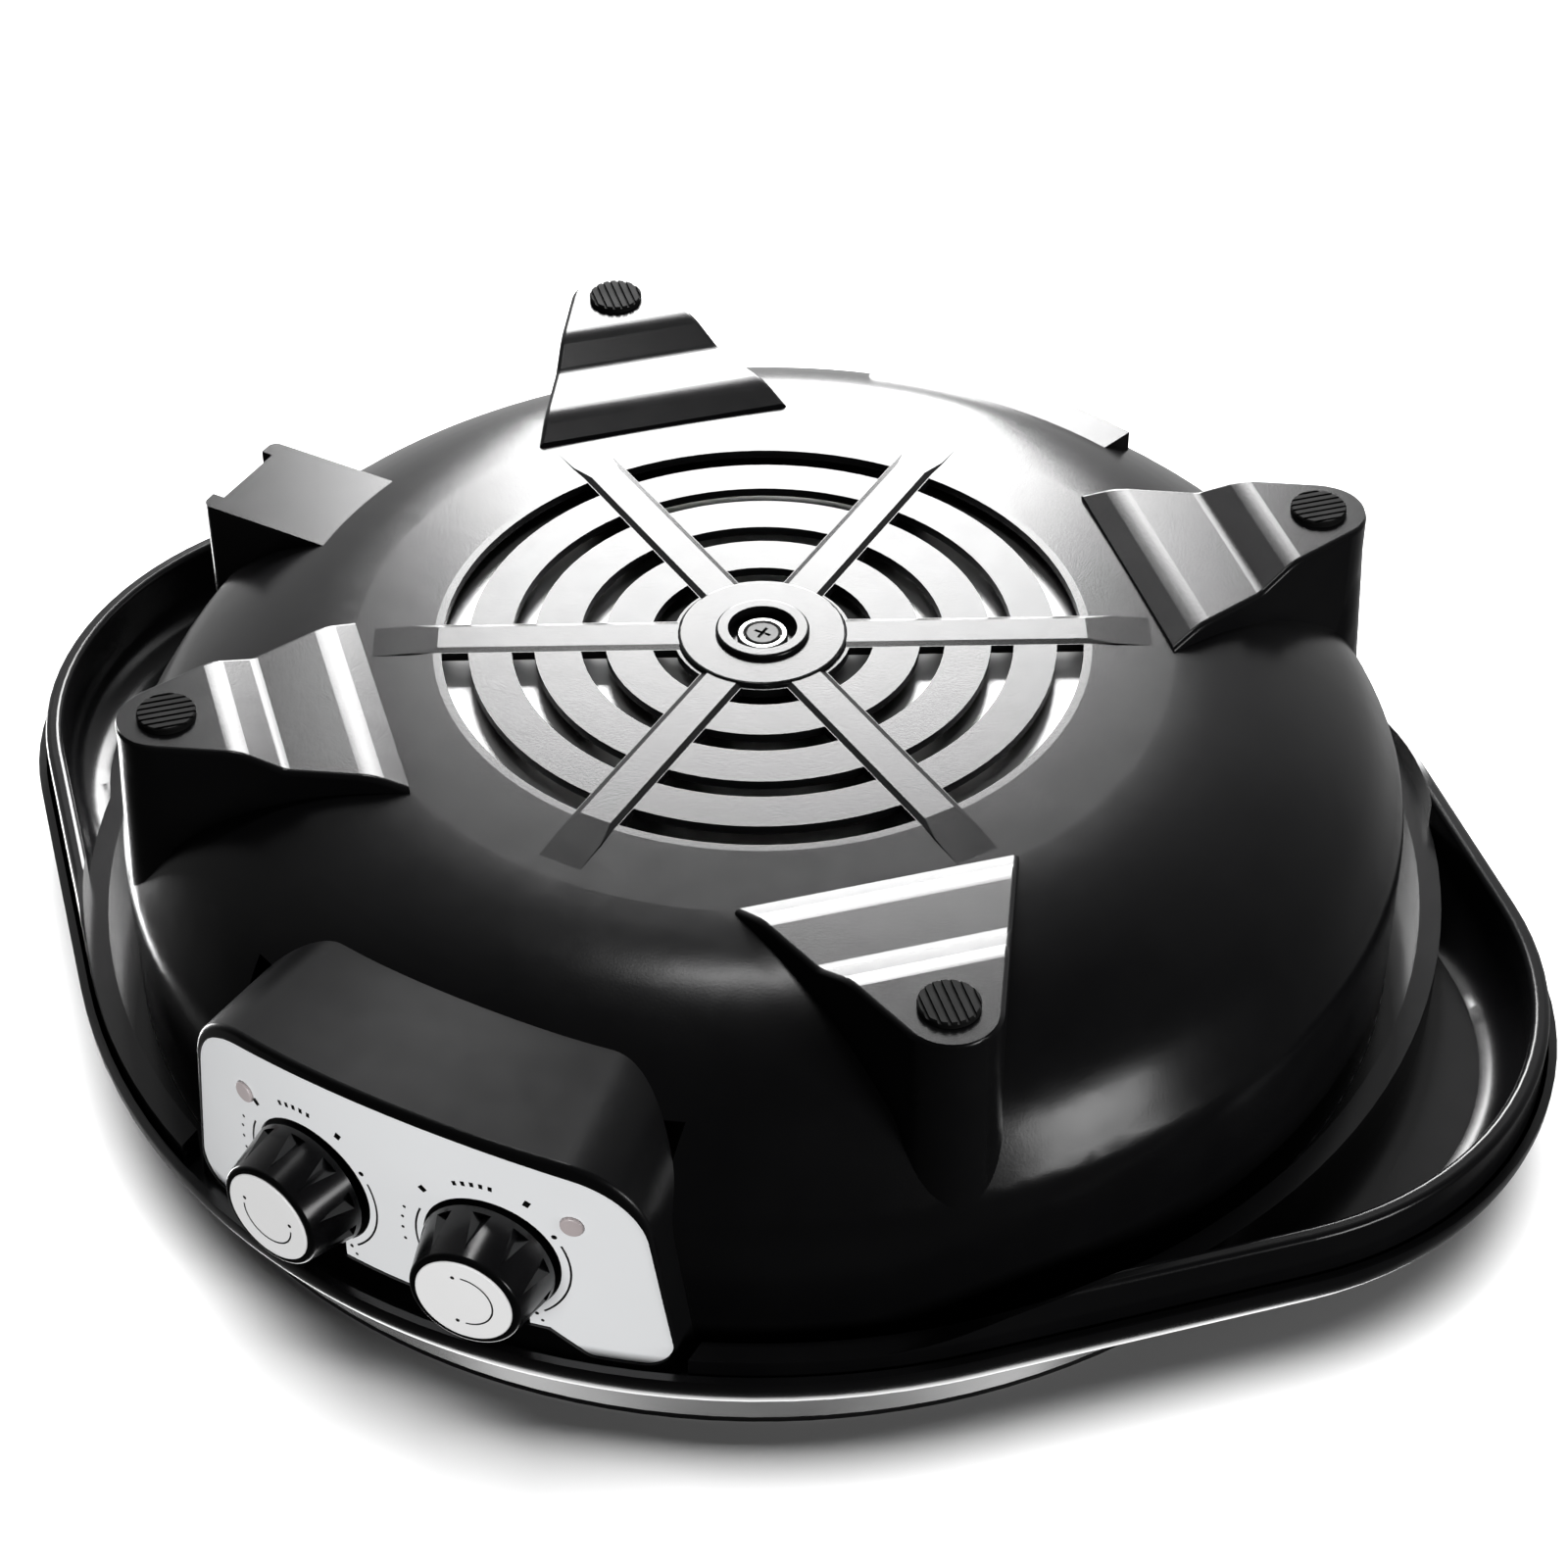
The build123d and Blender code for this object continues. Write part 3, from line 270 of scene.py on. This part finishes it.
# ---- stage ---------------------------------------------------------------------------------
def floor(name, z, facing):
    """A pale floor that shows only from the side that it faces."""
    material, tree, shader = new_material(name + "_paper")
    shader.inputs["Base Color"].default_value = (FLOOR_GREY, FLOOR_GREY, FLOOR_GREY, 1)
    shader.inputs["Roughness"].default_value = 1.0
    shader.inputs["Specular IOR Level"].default_value = 0.0
    side = add(tree, "ShaderNodeNewGeometry")
    clear = add(tree, "ShaderNodeBsdfTransparent")
    mix = add(tree, "ShaderNodeMixShader")
    tree.links.new(side.outputs["Backfacing"], mix.inputs["Fac"])
    tree.links.new(shader.outputs["BSDF"], mix.inputs[1])
    tree.links.new(clear.outputs["BSDF"], mix.inputs[2])
    tree.links.new(mix.outputs["Shader"], tree.nodes["Material Output"].inputs["Surface"])
    corners = [(FLOOR_HALF * x, FLOOR_HALF * y, z) for x, y in ((-1, -1), (1, -1), (1, 1), (-1, 1))]
    mesh = bpy.data.meshes.new(name)
    mesh.from_pydata(corners, [], [(0, 1, 2, 3) if facing > 0 else (3, 2, 1, 0)])
    obj = bpy.data.objects.new(name, mesh)
    bpy.context.scene.collection.objects.link(obj)
    obj.data.materials.append(material)
    obj.visible_shadow = False
    obj.visible_diffuse = False
    obj.visible_glossy = False
    obj.visible_transmission = False
    return obj


def group(name, objects):
    collection = bpy.data.collections.new(name)
    for obj in objects:
        collection.objects.link(obj)
    return collection


def softbox(name, place, aim, width, height, power, only=None):
    """Area light; only is a collection, when the light is for those objects alone."""
    light = bpy.data.lights.new(name, "AREA")
    light.shape = "RECTANGLE"
    light.size = width
    light.size_y = height
    light.energy = power
    obj = bpy.data.objects.new(name, light)
    bpy.context.scene.collection.objects.link(obj)
    obj.location = place
    obj.rotation_euler = (Vector(aim) - Vector(place)).to_track_quat("-Z", "Y").to_euler()
    if only:
        obj.light_linking.receiver_collection = only


# One floor is under the turned-over cooker, as in the photograph. The other is under its feet.
FLOORS = group("floors", [floor("photo_floor", PAN_TOP_Z + FLOOR_GAP, -1),
                          floor("table_floor", -FLOOR_GAP, 1)])
PALE = group("pale_parts", [frame["nodes"][n] for n in (
    "fascia_plate", "knob_cap_left", "knob_cap_right", "lamp_lens_left", "lamp_lens_right")])

# Two washes light the floors alone, and the key lights the pale parts alone. After the place and
# the aim come the width, the height and the power in watts.
softbox("floor_wash", (0.25, 0.5, -2.4), (0, 0, 0.13), 3.0, 3.0, 210, FLOORS)
softbox("table_wash", (0.25, 0.5, 2.4), (0, 0, 0), 3.0, 3.0, 210, FLOORS)
softbox("panel_key", (-0.1, -1.6, -0.3), (0, -0.2, 0.07), 0.7, 0.7, 21, PALE)
softbox("back_box", (0.83, 1.5, -0.70), (0.05, 0.1, 0), 0.65, 1.2, 46)
softbox("over_box", (0.15, 0.2, -1.6), (0, -0.1, 0.03), 0.35, 0.1, 2.5)
softbox("right_strip", (-1.5, -0.3, -0.25), (0, 0, 0.05), 0.5, 0.4, 5)
softbox("left_strip", (1.35, 0.25, 0.7), (0, 0, 0.06), 0.25, 0.8, 8)
softbox("upper_box", (0.3, 0.5, 2.3), (0, 0, 0.1), 1.6, 1.6, 22)

# The surroundings are dark, and grow bright only towards the side behind the cooker.
world = bpy.data.worlds.new("studio")
world.use_nodes = True
sky = world.node_tree
background = sky.nodes["Background"]
background.inputs["Strength"].default_value = 0.7
direction = add(sky, "ShaderNodeTexCoord")
away = add(sky, "ShaderNodeVectorMath", operation="DOT_PRODUCT")
away.inputs[1].default_value = BEHIND
half = add(sky, "ShaderNodeMapRange", From_Min=-1.0)
ramp = add(sky, "ShaderNodeValToRGB")
ramp.color_ramp.elements[0].color = (DARK_LEVEL, DARK_LEVEL, DARK_LEVEL, 1)
for place, level in ((0.5, DARK_LEVEL), (0.75, 0.25)):
    ramp.color_ramp.elements.new(place).color = (level, level, level, 1)
sky.links.new(direction.outputs["Generated"], away.inputs[0])
sky.links.new(away.outputs["Value"], half.inputs["Value"])
sky.links.new(half.outputs["Result"], ramp.inputs["Fac"])
sky.links.new(ramp.outputs["Color"], background.inputs["Color"])
bpy.context.scene.world = world
bpy.context.scene.view_settings.view_transform = "Standard"


# ---- camera --------------------------------------------------------------------------------
CAMERA_AT = Vector((-0.41547, -0.73597, -0.64605))
CAMERA_AIM = Vector((-0.01017, -0.00125, 0.06))
CAMERA_ROLL = math.radians(-0.143)
ahead = (CAMERA_AIM - CAMERA_AT).normalized()
right = ahead.cross(Vector((0, 0, -1))).normalized()
over = right.cross(ahead)
right, over = (right * math.cos(CAMERA_ROLL) + over * math.sin(CAMERA_ROLL),
               over * math.cos(CAMERA_ROLL) - right * math.sin(CAMERA_ROLL))
lens = bpy.data.cameras.new("camera")
lens.lens = 84.0
lens.sensor_width = 36.0
lens.clip_start = 0.05
lens.clip_end = 40.0
camera = bpy.data.objects.new("camera", lens)
bpy.context.scene.collection.objects.link(camera)
camera.matrix_world = Matrix((right, over, -ahead)).transposed().to_4x4()
camera.location = CAMERA_AT
bpy.context.scene.camera = camera
